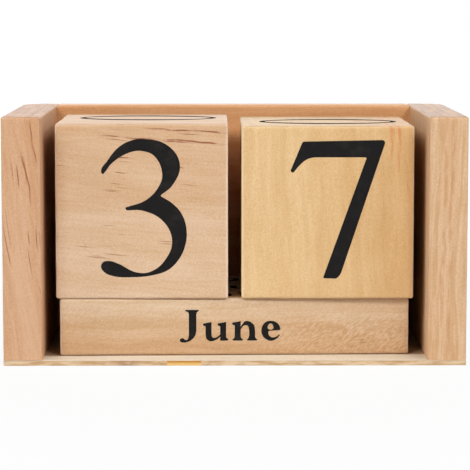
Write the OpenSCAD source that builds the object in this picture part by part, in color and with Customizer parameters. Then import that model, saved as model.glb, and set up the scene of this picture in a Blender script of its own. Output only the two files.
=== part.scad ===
// Wooden perpetual calendar, in millimetres.
// An open tray of two end boards, a back panel and a thin plywood base holds two date cubes,
// which stand side by side on three square month bars. The front faces -Y and +Z is up.
// The origin is at the middle of the tray's underside.

/* [Date cubes] */
// Width and depth of a date cube
cube_w = 45; // [36:0.5:54]
// Standing height of the left date cube
left_cube_h = 45.8; // [36:0.1:54]
// Standing height of the right date cube
right_cube_h = 45.2; // [36:0.1:54]
// Gap between the two cubes
cube_gap = 3.5; // [0.5:0.1:6]
// Gap between a cube and the end board beside it
cube_end_gap = 3.25; // [0.5:0.05:6]

/* [Month bars] */
// Side of a bar's square section
bar_s = 15; // [12:0.5:18]
// Gap between a bar's end and the end board beside it
bar_end_gap = 4.2; // [0.5:0.1:8]
// Gap between one bar and the next
bar_gap = 0.2; // [0.1:0.05:1]
// Turn of the loose row of bars, seen from above, which sets its right end back
bar_turn = 1.3; // [0:0.1:3]

/* [Tray] */
// Thickness of an end board
board_t = 10; // [7:0.5:14]
// Thickness of the back panel
back_t = 10; // [7:0.5:14]
// Thickness of the plywood base
base_t = 1.4; // [1.2:0.1:4]
// Depth of bare base in front of the cubes and bars
front_ledge = 7; // [2:0.5:12]
// Room between the cubes and bars and the back panel
rear_room = 5.6; // [1:0.1:12]
// Height of the boards above the taller cube
rim_h = 2.2; // [0.5:0.1:8]
// Clearance under each cube and bar, which lie loose
seat_gap = 0.05; // [0.02:0.01:0.3]

/* [Edges] */
// Radius of the tray's two back corners, seen from above
corner_r = 8; // [1:0.5:10]
// Radius of the sanded edges of the end boards and the back panel
board_edge_r = 0.6; // [0.2:0.1:1.5]
// Radius of the sanded edges of the cubes and bars
block_edge_r = 0.7; // [0.2:0.1:1.5]

/* [Base brads] */
// Diameter of a brad's shank
brad_d = 1.2; // [0.8:0.1:1.6]
// Length of a brad, head and point included
brad_len = 14; // [8:0.5:20]
// Diameter of a brad's head
brad_head_d = 2.2; // [1.8:0.1:3]
// Thickness of a brad's head
brad_head_t = 0.5; // [0.3:0.1:0.8]
// Length of a brad's point
brad_point = 1.5; // [0.5:0.1:3]
// Distance from the end of a board or panel to the brad nearest it
brad_inset = 12; // [9:0.5:20]

/* [Hidden] */
$fn = 48;
bar_count = 3;
bar_row_d = bar_count * bar_s + (bar_count - 1) * bar_gap;
row_d = max(bar_row_d, cube_w);
inner_w = 2 * cube_w + cube_gap + 2 * cube_end_gap;
inner_d = front_ledge + row_d + rear_room;
tray_w = inner_w + 2 * board_t;
tray_d = inner_d + back_t;
bar_z = base_t + seat_gap;
cube_z = bar_z + bar_s + seat_gap;
board_h = cube_z + max(left_cube_h, right_cube_h) + rim_h - base_t;
bar_len = inner_w - 2 * bar_end_gap;
// A turned row takes up at most this share of the room behind it and at its ends
turn_share = 0.8;
row_turn = min(
    bar_turn,
    asin(turn_share * rear_room / bar_len),
    asin(turn_share * bar_end_gap / bar_row_d)
);
front_y = -tray_d / 2;
row_y = front_y + front_ledge;
back_corner_r = min(corner_r, board_t - board_edge_r);
// A cutter that has to pass a face reaches this far beyond it
past = 1;

left_board_pine = [0.86, 0.68, 0.52];
right_board_pine = [0.87, 0.71, 0.55];
back_panel_pine = [0.81, 0.6, 0.4];
base_ply = [0.86, 0.75, 0.6];
left_cube_wood = [0.86, 0.71, 0.58];
right_cube_wood = [0.89, 0.75, 0.56];
bar_wood = [0.84, 0.69, 0.55];
brad_steel = [0.7, 0.71, 0.73];

// What is cut off a square corner at the origin, whose arms run along +X and +Y, to round it
module corner_waste(r) {
    difference() {
        translate([-past, -past])
            square(r + past);
        translate([r, r])
            circle(r);
    }
}

// A rectangle from the origin with its corners rounded: front left, front right, back right, back left
module rounded_rect(size, radii) {
    difference() {
        square(size);
        for (i = [0:3]) {
            at_right = i == 1 || i == 2;
            at_back = i >= 2;
            if (radii[i] > 0)
                translate([at_right ? size.x : 0, at_back ? size.y : 0])
                    mirror([at_right ? 1 : 0, 0])
                        mirror([0, at_back ? 1 : 0])
                            corner_waste(radii[i]);
        }
    }
}

// A block from the origin, rounded in each of its three views: plan, front and side
module eased_block(size, plan, front, side) {
    intersection() {
        linear_extrude(size.z)
            rounded_rect([size.x, size.y], plan);
        translate([0, size.y, 0])
            rotate([90, 0, 0])
                linear_extrude(size.y)
                    rounded_rect([size.x, size.z], front);
        rotate([90, 0, 90])
            linear_extrude(size.x)
                rounded_rect([size.y, size.z], side);
    }
}

// A solid block with every edge sanded to the same radius
module sanded_block(size, r) {
    all_round = [r, r, r, r];
    eased_block(size, all_round, all_round, all_round);
}

// One brad, head down at the origin and point up
module brad() {
    shank = brad_len - brad_point;
    cylinder(h = brad_head_t, d = brad_head_d);
    cylinder(h = shank, d = brad_d);
    translate([0, 0, shank])
        cylinder(h = brad_point, d1 = brad_d, d2 = brad_d / 4);
}

// Every brad where it is driven: two up into each end board and two up into the back panel
module all_brads() {
    board_x = (tray_w - board_t) / 2;
    panel_x = inner_w / 2 - brad_inset;
    for (side = [-1, 1]) {
        for (y = [front_y + brad_inset, -front_y - back_t - brad_inset])
            translate([side * board_x, y, 0])
                brad();
        translate([side * panel_x, -front_y - back_t / 2, 0])
            brad();
    }
}

// An end board standing on the base, with its outer side towards -X
module end_board() {
    e = board_edge_r;
    translate([-tray_w / 2, front_y, base_t])
        eased_block(
            [board_t, tray_d, board_h],
            [e, e, 0, back_corner_r],
            [0, 0, e, e],
            [0, 0, e, e]
        );
}

module left_end_board() {
    color(left_board_pine)
        difference() {
            end_board();
            all_brads();
        }
}

module right_end_board() {
    color(right_board_pine)
        difference() {
            mirror([1, 0, 0])
                end_board();
            all_brads();
        }
}

module back_panel() {
    e = board_edge_r;
    color(back_panel_pine)
        difference() {
            translate([-inner_w / 2, -front_y - back_t, base_t])
                eased_block([inner_w, back_t, board_h], [0, 0, 0, 0], [0, 0, 0, 0], [0, 0, e, e]);
            all_brads();
        }
}

module base_panel() {
    color(base_ply)
        difference() {
            translate([-tray_w / 2, front_y, 0])
                linear_extrude(base_t)
                    rounded_rect([tray_w, tray_d], [0, 0, back_corner_r, back_corner_r]);
            all_brads();
        }
}

module base_brads() {
    color(brad_steel)
        all_brads();
}

// A date cube on the bars: side is -1 for the left one and 1 for the right one
module date_cube(side, height) {
    middle_x = side * (cube_w + cube_gap) / 2;
    translate([middle_x - cube_w / 2, row_y, cube_z])
        sanded_block([cube_w, cube_w, height], block_edge_r);
}

module left_date_cube() {
    color(left_cube_wood)
        date_cube(-1, left_cube_h);
}

module right_date_cube() {
    color(right_cube_wood)
        date_cube(1, right_cube_h);
}

// A month bar on the base, counted from 0 at the front
module month_bar(place) {
    color(bar_wood)
        translate([-bar_len / 2, row_y, bar_z])
            rotate([0, 0, row_turn])
                translate([0, place * (bar_s + bar_gap), 0])
                    sanded_block([bar_len, bar_s, bar_s], block_edge_r);
}

module month_bar_front() {
    month_bar(0);
}

module month_bar_middle() {
    month_bar(1);
}

module month_bar_rear() {
    month_bar(2);
}

left_end_board();
right_end_board();
back_panel();
base_panel();
base_brads();
left_date_cube();
right_date_cube();
month_bar_front();
month_bar_middle();
month_bar_rear();
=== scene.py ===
"""A wooden perpetual calendar: sanded blocks in an open tray, printed with dates and months."""

import math

import bpy
from bpy.props import FloatProperty, FloatVectorProperty, IntProperty, PointerProperty
from mathutils import Matrix, Vector
from mathutils.geometry import delaunay_2d_cdt


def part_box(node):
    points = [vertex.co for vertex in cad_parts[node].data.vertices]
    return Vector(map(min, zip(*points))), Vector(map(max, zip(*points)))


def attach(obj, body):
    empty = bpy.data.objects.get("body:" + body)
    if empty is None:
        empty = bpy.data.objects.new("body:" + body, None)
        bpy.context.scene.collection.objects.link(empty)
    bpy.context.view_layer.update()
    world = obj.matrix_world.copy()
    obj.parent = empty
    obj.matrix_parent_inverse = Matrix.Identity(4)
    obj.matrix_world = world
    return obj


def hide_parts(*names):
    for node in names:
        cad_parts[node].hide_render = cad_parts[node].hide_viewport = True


bl_info = {
    "name": "Wooden perpetual calendar",
    "version": (1, 0, 0),
    "blender": (4, 5, 0),
    "location": "3D View > Sidebar > Calendar",
    "description": "Builds a desk calendar of date cubes and month bars in an open wooden tray",
    "category": "Add Mesh",
}

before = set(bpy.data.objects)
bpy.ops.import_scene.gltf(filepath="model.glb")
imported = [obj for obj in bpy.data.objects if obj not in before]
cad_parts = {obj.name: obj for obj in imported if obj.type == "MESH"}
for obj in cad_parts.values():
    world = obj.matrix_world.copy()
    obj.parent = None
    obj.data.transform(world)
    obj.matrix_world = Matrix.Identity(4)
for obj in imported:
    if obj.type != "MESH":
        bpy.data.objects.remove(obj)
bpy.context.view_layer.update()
MM = 0.001


def srgb(red, green, blue):
    """A colour as it is seen, in 0 to 255, as the linear values that Blender works in."""
    parts = []
    for value in (red, green, blue):
        part = value / 255
        parts.append(part / 12.92 if part <= 0.04045 else ((part + 0.055) / 1.055) ** 2.4)
    return tuple(parts)


def length(name, description, size):
    """A length property with its default in millimetres."""
    return FloatProperty(name=name, description=description, default=size * MM, min=0, precision=5,
                         subtype="DISTANCE", unit="LENGTH")


def angle(name, description, degrees):
    """An angle property with its default in degrees."""
    return FloatProperty(name=name, description=description, default=math.radians(degrees),
                         subtype="ANGLE", unit="ROTATION")


def power(name, description, watts):
    """A property for the power of a lamp."""
    return FloatProperty(name=name, description=description, default=watts, min=0, unit="POWER")


def tint(name, description, colour):
    """A colour property."""
    return FloatVectorProperty(name=name, description=description, default=colour, size=3, min=0, max=1,
                               subtype="COLOR")


# Settings

class CalendarShape(bpy.types.PropertyGroup):
    """How the wooden pieces are sanded and lie, and how the base is nailed on."""

    tray_corner: length("Tray corner", "Radius of the tray's back corners, seen from above", 8)
    board_edge: length("Board edge", "Radius of the sanded edges of the tray's boards", 0.6)
    block_edge: length("Block edge", "Radius of the sanded edges of the cubes and bars", 0.7)
    seam_edge: length("Seam edge", "Radius left where one board is glued to another", 0.06)
    base_edge: length("Base edge", "Radius of the plywood's trimmed edges", 0.15)
    unevenness: FloatProperty(name="Unevenness", description="How much the sanding varies along an edge",
                              default=0.3, min=0, max=0.6, subtype="FACTOR")
    fineness: IntProperty(name="Fineness", description="Points along each side of a sanded block",
                          default=44, min=12, max=96)
    bar_turn: angle("Bar turn", "How far the row of bars is turned, seen from above", 1.3)
    brad_head: length("Brad head", "Radius of a brad's head", 1.1)
    brad_head_height: length("Brad head height", "Thickness of a brad's head", 0.5)
    brad_shank: length("Brad shank", "Radius of a brad's shank", 0.6)
    brad_point: length("Brad point", "Length of a brad's point", 1.5)
    brad_inset: length("Brad inset", "Distance from a board's end to the brad nearest it", 12)


class CalendarPrint(bpy.types.PropertyGroup):
    """The printed numbers and month names."""

    digit_height: length("Number height", "Height of a number on a date cube", 36)
    capital_height: length("Capital height", "Height of a capital letter on a month bar", 8.2)
    letter_gap: length("Letter gap", "Space between two letters", 1.08)
    left_top_shift: length("Left top shift", "How far behind the middle the left cube's top number is", 5)
    right_top_shift: length("Right top shift", "How far before the middle the right one's top number is", 2)
    month_inset: length("Month inset", "How far left of a bar's middle a month is printed", 1.2)
    month_lift: length("Month lift", "How far above a bar's middle a month is printed", 0.4)
    ink_height: length("Ink height", "How far the ink stands above the wood", 0.02)
    ink_depth: length("Ink depth", "How far the ink reaches into the wood", 0.05)
    ink: tint("Ink", "Colour of the printing ink", srgb(36, 35, 35))


class CalendarWood(bpy.types.PropertyGroup):
    """The colour of each piece's own wood, and of the brads."""

    left_board: tint("Left board", "Slant-grained pine of the left end board", srgb(222, 181, 147))
    right_board: tint("Right board", "Straight-grained pine of the right end board", srgb(227, 193, 157))
    back_panel: tint("Back panel", "Pine of the back panel", srgb(236, 186, 138))
    base: tint("Base", "Face veneer of the plywood base", srgb(239, 233, 219))
    base_core: tint("Base core", "Inner veneer, which shows along the base's edge", srgb(216, 188, 152))
    left_cube: tint("Left cube", "Rosy wood of the left date cube", srgb(232, 204, 175))
    right_cube: tint("Right cube", "Yellow wood of the right date cube", srgb(236, 204, 155))
    bars: tint("Bars", "Wood of the month bars", srgb(229, 203, 173))
    brads: tint("Brads", "Steel of the brads", srgb(176, 176, 180))


class CalendarStudio(bpy.types.PropertyGroup):
    """The camera, the lamps and the floor."""

    eye: FloatVectorProperty(name="Camera place", description="Where the camera stands",
                             default=(-0.00419, -0.57087, 0.09513), subtype="TRANSLATION", unit="LENGTH")
    pitch: angle("Camera pitch", "How far the camera looks down", 6.485)
    yaw: angle("Camera yaw", "How far the camera looks to the right", 0.448)
    lens: FloatProperty(name="Lens", description="Focal length on a 36 mm sensor", default=160.7, min=20,
                        subtype="DISTANCE_CAMERA", unit="CAMERA")
    front_power: power("Front lamps", "Power of each wide lamp high before the front", 11.3)
    side_power: power("Side lamps", "Power of each lamp that shines in from one side", 6.0)
    back_power: power("Back lamp", "Power of the lamp behind, which skims the tops", 4.7)
    sky: FloatProperty(name="Room light", description="Strength of the even light from all round",
                       default=0.02, min=0)
    floor: tint("Floor", "Colour of the floor", (0.86, 0.86, 0.86))


SETTINGS = {
    "calendar_shape": CalendarShape,
    "calendar_print": CalendarPrint,
    "calendar_wood": CalendarWood,
    "calendar_studio": CalendarStudio,
}


# Node trees

class Wire:
    """A node's output, with which sums can be written as with a number or a vector."""

    def __init__(self, graph, socket):
        self.graph = graph
        self.socket = socket

    def __add__(self, other):
        return self.graph.math("ADD", self, other)

    def __sub__(self, other):
        return self.graph.math("SUBTRACT", self, other)

    def __rsub__(self, other):
        return self.graph.math("SUBTRACT", other, self)

    def __mul__(self, other):
        return self.graph.math("MULTIPLY", self, other)

    def __truediv__(self, other):
        return self.graph.math("DIVIDE", self, other)

    def __pow__(self, other):
        return self.graph.math("POWER", self, other)

    def __abs__(self):
        return self.graph.math("ABSOLUTE", self)


class Graph:
    """Adds nodes to one tree and wires them up."""

    def __init__(self, tree):
        self.tree = tree

    def feed(self, socket, value):
        """Wire a socket up or set its value; one number stands for all three of a vector."""
        if isinstance(value, Wire):
            self.tree.links.new(value.socket, socket)
        elif socket.type == "VECTOR" and isinstance(value, (int, float)):
            socket.default_value = (value, value, value)
        else:
            socket.default_value = value

    def add(self, kind, inputs=None, **settings):
        """A new node, with its inputs fed by name or number."""
        node = self.tree.nodes.new(kind)
        for name, value in settings.items():
            setattr(node, name, value)
        for key, value in (inputs or {}).items():
            self.feed(node.inputs[key], value)
        return node

    def out(self, kind, inputs=None, output=0, **settings):
        """One output of a new node."""
        return Wire(self, self.add(kind, inputs, **settings).outputs[output])

    def outs(self, kind, inputs=None, **settings):
        """All the outputs of a new node, by name."""
        node = self.add(kind, inputs, **settings)
        return {socket.name: Wire(self, socket) for socket in node.outputs}

    def math(self, operation, *values, output=0, **settings):
        """One sum on numbers, or on vectors if any value is one."""
        kinds = {value.socket.type for value in values if isinstance(value, Wire)}
        kind = "ShaderNodeVectorMath" if kinds & {"VECTOR", "RGBA"} else "ShaderNodeMath"
        return self.out(kind, dict(enumerate(values)), output, operation=operation, **settings)

    def most(self, first, second):
        return self.math("MAXIMUM", first, second)

    def least(self, first, second):
        return self.math("MINIMUM", first, second)

    def distance(self, vector):
        return self.math("LENGTH", vector, output="Value")

    def hypotenuse(self, first, second):
        return self.math("SQRT", first * first + second * second)

    def split(self, vector):
        return self.outs("ShaderNodeSeparateXYZ", {0: vector})

    def join(self, x, y, z):
        return self.out("ShaderNodeCombineXYZ", {0: x, 1: y, 2: z})

    def turned(self, vector, rotation, location=0):
        return self.out("ShaderNodeMapping", {"Vector": vector, "Location": location, "Rotation": rotation})

    def millimetres(self):
        """The place on the piece, in millimetres."""
        return self.out("ShaderNodeTexCoord", output="Object") * (1 / MM)

    def ramp(self, value, start, stop, low=0.0, high=1.0):
        """An eased step of value from low to high, between start and stop."""
        sockets = {"Value": value, "From Min": start, "From Max": stop, "To Min": low, "To Max": high}
        return self.out("ShaderNodeMapRange", sockets, interpolation_type="SMOOTHSTEP")

    def fall(self, value, start, stop):
        """An eased step down from one to nought, between start and stop."""
        return self.ramp(value, start, stop, 1.0, 0.0)

    def between(self, value, low, high, ease):
        """One from low to high and nought outside, with eased ends."""
        return self.ramp(value, low - ease, low + ease) * self.fall(value, high - ease, high + ease)

    def blend(self, factor, first, second, mode="MIX"):
        """One colour laid over another."""
        node = self.add("ShaderNodeMix", data_type="RGBA", blend_type=mode)
        sockets = {socket.identifier: socket for socket in (*node.inputs, *node.outputs)}
        self.feed(sockets["Factor_Float"], factor)
        self.feed(sockets["A_Color"], first)
        self.feed(sockets["B_Color"], second)
        return Wire(self, sockets["Result_Color"])

    def noise(self, vector, stretch, detail=2.0, output="Fac"):
        """Noise of about one blot per unit of the vector, times stretch."""
        sockets = {"Vector": vector * stretch, "Scale": 1.0, "Detail": detail}
        return self.out("ShaderNodeTexNoise", sockets, output)


def new_tree(name, kind, inputs, outputs):
    """An empty node group with named sockets: its graph, what it is given and where its results go."""
    tree = bpy.data.node_groups.new(name, kind)
    for way, sockets in (("INPUT", inputs), ("OUTPUT", outputs)):
        for label, socket in sockets.items():
            tree.interface.new_socket(label, in_out=way, socket_type="NodeSocket" + socket)
    graph = Graph(tree)
    return graph, graph.outs("NodeGroupInput"), graph.add("NodeGroupOutput").inputs


def shared_tree(name, maker):
    """A node tree that is made the first time it is asked for."""
    return bpy.data.node_groups.get(name) or maker()


def finish_tree(graph, geometry, material, results):
    """End a geometry tree: its instances are made plain geometry, in one material."""
    real = graph.out("GeometryNodeRealizeInstances", {"Geometry": geometry})
    dressed = graph.out("GeometryNodeSetMaterial", {"Geometry": real, "Material": material})
    graph.feed(results["Geometry"], dressed)


def grown(name, tree, values, seed_mesh):
    """The plain mesh object that a geometry tree makes from its named inputs."""
    piece = bpy.data.objects.new(name, seed_mesh)
    bpy.context.scene.collection.objects.link(piece)
    modifier = piece.modifiers.new(name, "NODES")
    modifier.node_group = tree
    for item in tree.interface.items_tree:
        if item.in_out == "INPUT" and item.name in values:
            modifier[item.identifier] = values[item.name]
    shape = piece.evaluated_get(bpy.context.evaluated_depsgraph_get())
    mesh = bpy.data.meshes.new_from_object(shape)
    piece.modifiers.remove(modifier)
    piece.data = mesh
    mesh.name = name
    return piece


# Sanded blocks

PLAN_CORNERS = {
    "Front left": (-1, -1),
    "Front right": (1, -1),
    "Back right": (1, 1),
    "Back left": (-1, 1),
}
# How strongly the points of a block crowd towards its edges
EDGE_CROWDING = 2.5
# How far from a corner the easing of one level edge gives way to that of the next
EDGE_BLEND = 4 * MM
# Waves of uneven sanding along half a side, and the gain that brings their noise to about one each way
SANDING_WAVES = 1.6
SANDING_GAIN = 4.0
# Corners up to the first radius are uneven and rubbed, with a painted highlight, and those from the second
# on are neither
SMALL_CORNER = (1 * MM, 3 * MM)
SQUARE_CORNER = 1e-6
# The share by which the middle of an upright corner is drawn in, which counts as fully rubbed, with the
# full painted highlight
FULL_TURN = 1 - math.sqrt(0.5)
# How much level edges are rubbed and take the painted highlight, where upright ones take it fully
LEVEL_WEAR_AND_HIGHLIGHT = 0.3


def sanded_block_tree():
    """A block whose upright corners, top edges and bottom edges have their own sanded radii."""
    numbers = ("Width", "Depth", "Height", "Top edge", "Bottom edge", "Unevenness", "Seed", *PLAN_CORNERS)
    inputs = {"Points": "Int", "Material": "Material", **dict.fromkeys(numbers, "Float")}
    graph, given, results = new_tree("Sanded block", "GeometryNodeTree", inputs, {"Geometry": "Geometry"})
    points = {"Vertices " + axis: given["Points"] for axis in "XYZ"}
    cube = graph.out("GeometryNodeMeshCube", {"Size": 2, **points}, "Mesh")
    unit = graph.out("GeometryNodeInputPosition")
    sign = graph.split(graph.math("SIGN", unit))
    size = graph.join(given["Width"], given["Depth"], given["Height"])
    half = graph.split(size * 0.5)
    margin = graph.split((1 - abs(unit)) ** EDGE_CROWDING * size * 0.5)

    # The radius wanders a little along the edge, as hand sanding does
    seeded = unit * SANDING_WAVES + given["Seed"]
    wander = graph.out("ShaderNodeTexNoise", {"Vector": seeded}, "Fac") - 0.5
    uneven = wander * given["Unevenness"] * SANDING_GAIN + 1

    # Top and bottom edges: the block's outline draws in as it nears the face
    upper = graph.math("GREATER_THAN", sign["Z"], 0)
    edges = {"Factor": upper, "A": given["Bottom edge"], "B": given["Top edge"]}
    radius = graph.out("ShaderNodeMix", edges) * uneven
    nearest = graph.least(margin["X"], margin["Y"])
    out = graph.most(radius - nearest, 0)
    up = graph.most(radius - margin["Z"], 0)
    share = radius / graph.most(graph.hypotenuse(out, up), radius)
    wear_and_highlight = (1 - graph.most(out, up) * share / radius) * LEVEL_WEAR_AND_HIGHLIGHT
    drawn = out * (1 - share)
    sunk = up * (1 - share)
    tall = (half["Z"] - (margin["Z"] + sunk)) * sign["Z"]
    plan = {}
    for axis in "XY":
        blend = graph.most(1 - (margin[axis] - nearest) / EDGE_BLEND, 0)
        plan[axis] = (half[axis] - (margin[axis] + drawn * blend)) * sign[axis]

    # Upright corners: the square plan is turned into an arc, ring by ring
    for corner, sides in PLAN_CORNERS.items():
        small = graph.fall(given[corner], *SMALL_CORNER)
        bend = graph.most(given[corner] * ((uneven - 1) * small + 1), SQUARE_CORNER)
        past = {}
        for axis, side in zip("XY", sides):
            past[axis] = graph.most(plan[axis] * side - (half[axis] - bend), 0)
        span = graph.most(graph.hypotenuse(past["X"], past["Y"]), SQUARE_CORNER)
        both = graph.math("GREATER_THAN", graph.least(past["X"], past["Y"]), 0)
        pull = (1 - graph.most(past["X"], past["Y"]) / span) * both
        for axis, side in zip("XY", sides):
            plan[axis] = plan[axis] - past[axis] * pull * side
        wear_and_highlight = graph.most(wear_and_highlight, pull * small)

    # Worn edges are also painted pale by the wood, as a highlight where they catch the light
    marks = {"Geometry": cube, "Name": "edge_wear_and_highlight", "Value": wear_and_highlight / FULL_TURN}
    marked = graph.out("GeometryNodeStoreNamedAttribute", marks, data_type="FLOAT", domain="POINT")
    place = graph.join(plan["X"], plan["Y"], tall)
    shaped = graph.out("GeometryNodeSetPosition", {"Geometry": marked, "Position": place})
    smooth = graph.out("GeometryNodeSetShadeSmooth", {"Geometry": shaped})
    finish_tree(graph, smooth, given["Material"], results)
    return graph.tree


def standing_block(node):
    """The middle of a node's block, its size and its turn; a bar is square in section and lies turned."""
    shape = bpy.context.scene.calendar_shape
    low, high = (Vector(corner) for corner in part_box(node))
    size = high - low
    turn = shape.bar_turn if node.startswith("month_bar") else 0.0
    if turn:
        rounded = 2 * shape.block_edge
        across = (size.z - rounded) * math.sin(turn)
        size.x = (size.x - rounded - across) / math.cos(turn) + rounded
        size.y = size.z
    return (low + high) / 2, size, Matrix.Rotation(turn, 3, "Z")


def sanded_piece(name, node, body, material, corners, top, bottom, seed):
    """A sanded block in a node's place; corners holds its upright radii in the order of PLAN_CORNERS."""
    shape = bpy.context.scene.calendar_shape
    middle, size, turn = standing_block(node)
    values = {"Width": size.x, "Depth": size.y, "Height": size.z, "Top edge": top, "Bottom edge": bottom,
              "Unevenness": shape.unevenness, "Points": shape.fineness, "Seed": seed, "Material": material}
    values.update(zip(PLAN_CORNERS, corners))
    tree = shared_tree("Sanded block", sanded_block_tree)
    piece = grown(name, tree, values, bpy.data.meshes.new(name))
    piece.data.transform(Matrix.Translation(middle) @ turn.to_4x4())
    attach(piece, body)
    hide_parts(node)


# Wood

SEAMS = ("Seam", "Second seam", "Third seam")
WOOD_INPUTS = {
    "Color": ("Light", "Dark", "Warm", "Streak"),
    "Vector": ("Grain", "Offset", "Pith", "Drift", "Zone", "Zone size", *SEAMS),
    "Float": ("Ring width", "Rings", "Fibres", "Specks", "Cloud", "Mottle", "Warmth", "Threads", "Needles",
              "Ripple", "Outside zone", "Seam reach", "Seam width", "Seam strength", "End grain", "Rubbed and highlit"),
}
# What a piece of wood has, where its own cut says nothing else
PLAIN_WOOD = {
    "Warm": (0.88, 0.77, 0.65, 1), "Ring width": 3.0, "Rings": 0.35, "Fibres": 0.8, "Specks": 1.7,
    "Cloud": 0.6, "Mottle": 1.3, "Zone size": 1000, "Outside zone": 1.0, "Seam reach": 10.0,
    "Seam width": 0.3, "Rubbed and highlit": 0.95,
}
# Blots per millimetre along the grain and across it, and their detail; the last five lie along X, Y and Z
FIGURE = {
    "bend": ((0.02, 0.07, 0.07), 2.0),
    "ring": ((0.02, 0.2, 0.2), 2.0),
    "fine fibre": ((0.12, 2.6, 2.6), 3.0),
    "broad fibre": ((0.03, 0.55, 0.55), 2.0),
    "speck": ((2.2, 3.0, 3.0), 3.0),
    "cloud": ((0.025, 0.09, 0.09), 3.0),
    "ripple": ((0.7, 1.0, 2.6), 1.0),
    "patch": ((0.06, 0.16, 0.16), 3.0),
    "seam bend": (0.08, 2.0),
    "seam dash": ((0.2, 0.6, 0.6), 3.0),
    "sawn band": ((0.5, 0.05, 0.5), 3.0),
    "blotch": ((0.2, 0.2, 1.2), 4.0),
    "scorch": ((0.5, 0.5, 2.0), 2.0),
    "scuff": (2.5, 3.0),
    "thin ink": (0.35, 4.0),
}
# How far the grain and a seam stray, in millimetres, and how far a ripple leans from the grain
GRAIN_STRAY = (0, 5, 5)
SEAM_STRAY = 3.0
RIPPLE_LEAN = (0, 0.6, 0)
# The shares of a year's ring over which it darkens and pales again, and the depth of the palest year
RING_DARKENS = (0.25, 0.85)
RING_PALES = (0.86, 1.0)
PALEST_YEAR = 0.3
# The distances from its middle, as shares of its size, over which a zone gives way
ZONE_EDGE = (0.4, 1.0)
# Dark marks: their cells per millimetre along the grain and across it, and the share that is dark
THREAD = ((0.022, 1.1, 1.1), 0.12)
NEEDLE = ((0.06, 1.7, 1.7), 0.2)
# The distances from a cell's middle over which its mark fades
MARK_FADE = (0.08, 0.28)
# The core of a seam as a share of its width, the shares of its reach over which it fades, and its dashes
SEAM_CORE = 0.25
SEAM_FADE = (0.5, 1.0)
SEAM_DASHES = (0.36, 0.56, 0.15, 1.0)
# How squarely a face crosses the grain where it counts as a sawn end, and the bands across it
SAWN_FACING = (0.75, 0.95)
SAWN_BANDS = (0.35, 0.65, 0.55, 1.25)
# Tone of plain wood from light to dark, the shades of its dark parts, and what rubbing and the painted edge
# highlight add to its light
MID_TONE = 0.4
LATE_WOOD = (0.84, 0.72, 0.58)
RESIN = (0.42, 0.18, 0.11)
SAWN_END = (0.65, 0.61, 0.66, 1)
RUBBED_AND_HIGHLIGHT_GAIN = (0.17, 0.2, 0.22, 1)
# Relief of the grain, and how far the marks sink into it
RELIEF = 0.08 * MM
RELIEF_STRENGTH = 0.4
MARK_DEPTH = 0.5
# Roughness, how much the fibres vary it, and gloss
ROUGHNESS = 0.55
FIBRE_ROUGHNESS = 0.25
GLOSS = 0.3


def dark_marks(graph, grain, stretch, share):
    """Thin marks along the grain: a share of the cells of a pattern that is stretched that way."""
    cells = graph.outs("ShaderNodeTexVoronoi", {"Vector": grain * stretch, "Scale": 1.0})
    chosen = graph.math("LESS_THAN", graph.split(cells["Color"])["X"], share)
    return graph.fall(cells["Distance"], *MARK_FADE) * chosen


def resin_seam(graph, place, grain, given):
    """A thin broken line along the grain, centred on a place and fading out at the seam's reach."""
    laid = graph.split(graph.turned(place, given["Grain"]))
    beside = abs(laid["Z"] + (graph.noise(grain, *FIGURE["seam bend"]) - 0.5) * SEAM_STRAY)
    thin = graph.fall(beside, given["Seam width"] * SEAM_CORE, given["Seam width"])
    along = abs(laid["X"]) / given["Seam reach"]
    dashes = graph.ramp(graph.noise(grain, *FIGURE["seam dash"]), *SEAM_DASHES)
    return thin * graph.fall(along, *SEAM_FADE) * dashes


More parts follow.
